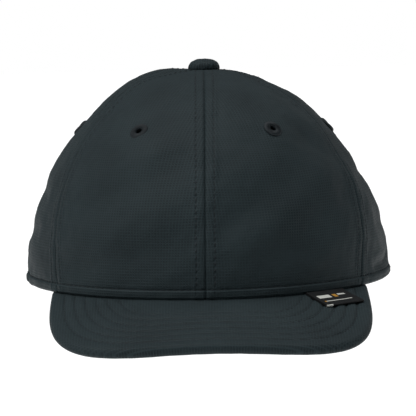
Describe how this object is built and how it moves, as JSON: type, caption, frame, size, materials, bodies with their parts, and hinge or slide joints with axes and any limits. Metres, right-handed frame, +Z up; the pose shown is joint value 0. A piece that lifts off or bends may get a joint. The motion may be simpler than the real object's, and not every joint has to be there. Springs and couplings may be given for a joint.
{
  "type": "bump cap",
  "caption": "Soft panelled cap with a short stitched visor over a removable padded bump shell, with a hook-and-loop size strap.",
  "frame": {"origin": "centre of the head opening, in the plane of the crown's lower edge", "axes": "+Z up through the button, -Y towards the visor, +X towards the wearer's left"},
  "size_m": [0.172, 0.2398, 0.1242],
  "materials": {
    "crown_cloth": "woven nylon with a faint grid, slight sheen",
    "visor_cloth": "woven nylon over a board, six rows of stitching",
    "thread": "matt polyester thread",
    "tape": "woven binding tape",
    "band_cloth": "brushed knit",
    "foam": "EVA foam, fine-celled",
    "webbing": "woven nylon webbing",
    "hook_loop": "hook and loop pile",
    "label_cloth": "woven satin tag",
    "board": "polyethylene board",
    "shell_plastic": "moulded ABS, fine texture",
    "wire": "black painted steel wire",
    "button_metal": "painted steel"
  },
  "bodies": {
    "cap": {"button_cap": "button_metal", "button_cover": "crown_cloth", "button_rivet": "button_metal", "crown_loop_dots": "hook_loop", "eyelet_front_left": "thread", "eyelet_front_right": "thread", "eyelet_rear_left": "thread", "eyelet_rear_right": "thread", "eyelet_side_left": "thread", "eyelet_side_right": "thread", "panel_front_left": "crown_cloth", "panel_front_right": "crown_cloth", "panel_rear_left": "crown_cloth", "panel_rear_right": "crown_cloth", "panel_side_left": "crown_cloth", "panel_side_right": "crown_cloth", "rear_arch_binding": "tape", "ring_keeper": "webbing", "seam_tape_front": "tape", "seam_tape_front_left": "tape", "seam_tape_front_right": "tape", "seam_tape_rear": "tape", "seam_tape_rear_left": "tape", "seam_tape_rear_right": "tape", "strap_fold": "webbing", "strap_loop_patch": "hook_loop", "strap_main": "webbing", "strap_ring": "wire", "sweatband": "band_cloth", "sweatband_foam": "foam", "visor_board": "board", "visor_edge_allowance": "visor_cloth", "visor_top_cover": "visor_cloth", "visor_under_cover": "visor_cloth"},
    "insert": {"bump_shell": "shell_plastic", "insert_hook_dots": "hook_loop", "pad_crown": "foam", "pad_front": "foam", "pad_left": "foam", "pad_rear": "foam", "pad_right": "foam"},
    "strap_tail": {"strap_tail": "webbing", "strap_hook_patch": "hook_loop"},
    "label": {"side_label": "label_cloth"}
  },
  "joints": [
    {"name": "insert_slide", "type": "slide", "parent": "cap", "child": "insert", "axis": [0, 0, -1], "range_m": [0, 0.12]},
    {"name": "strap_tail_peel", "type": "hinge", "parent": "cap", "child": "strap_tail", "pos_m": [0.01965, 0.09652, 0.00351], "axis": [0.0239, 0.1291, -0.9913], "range_deg": [0, 130], "deforming": ["strap_fold"]},
    {"name": "label_lift", "type": "hinge", "parent": "cap", "child": "label", "pos_m": [0.05103, -0.07972, 0.00047], "axis": [-0.7777, -0.6286, 0], "range_deg": [0, 95]}
  ]
}
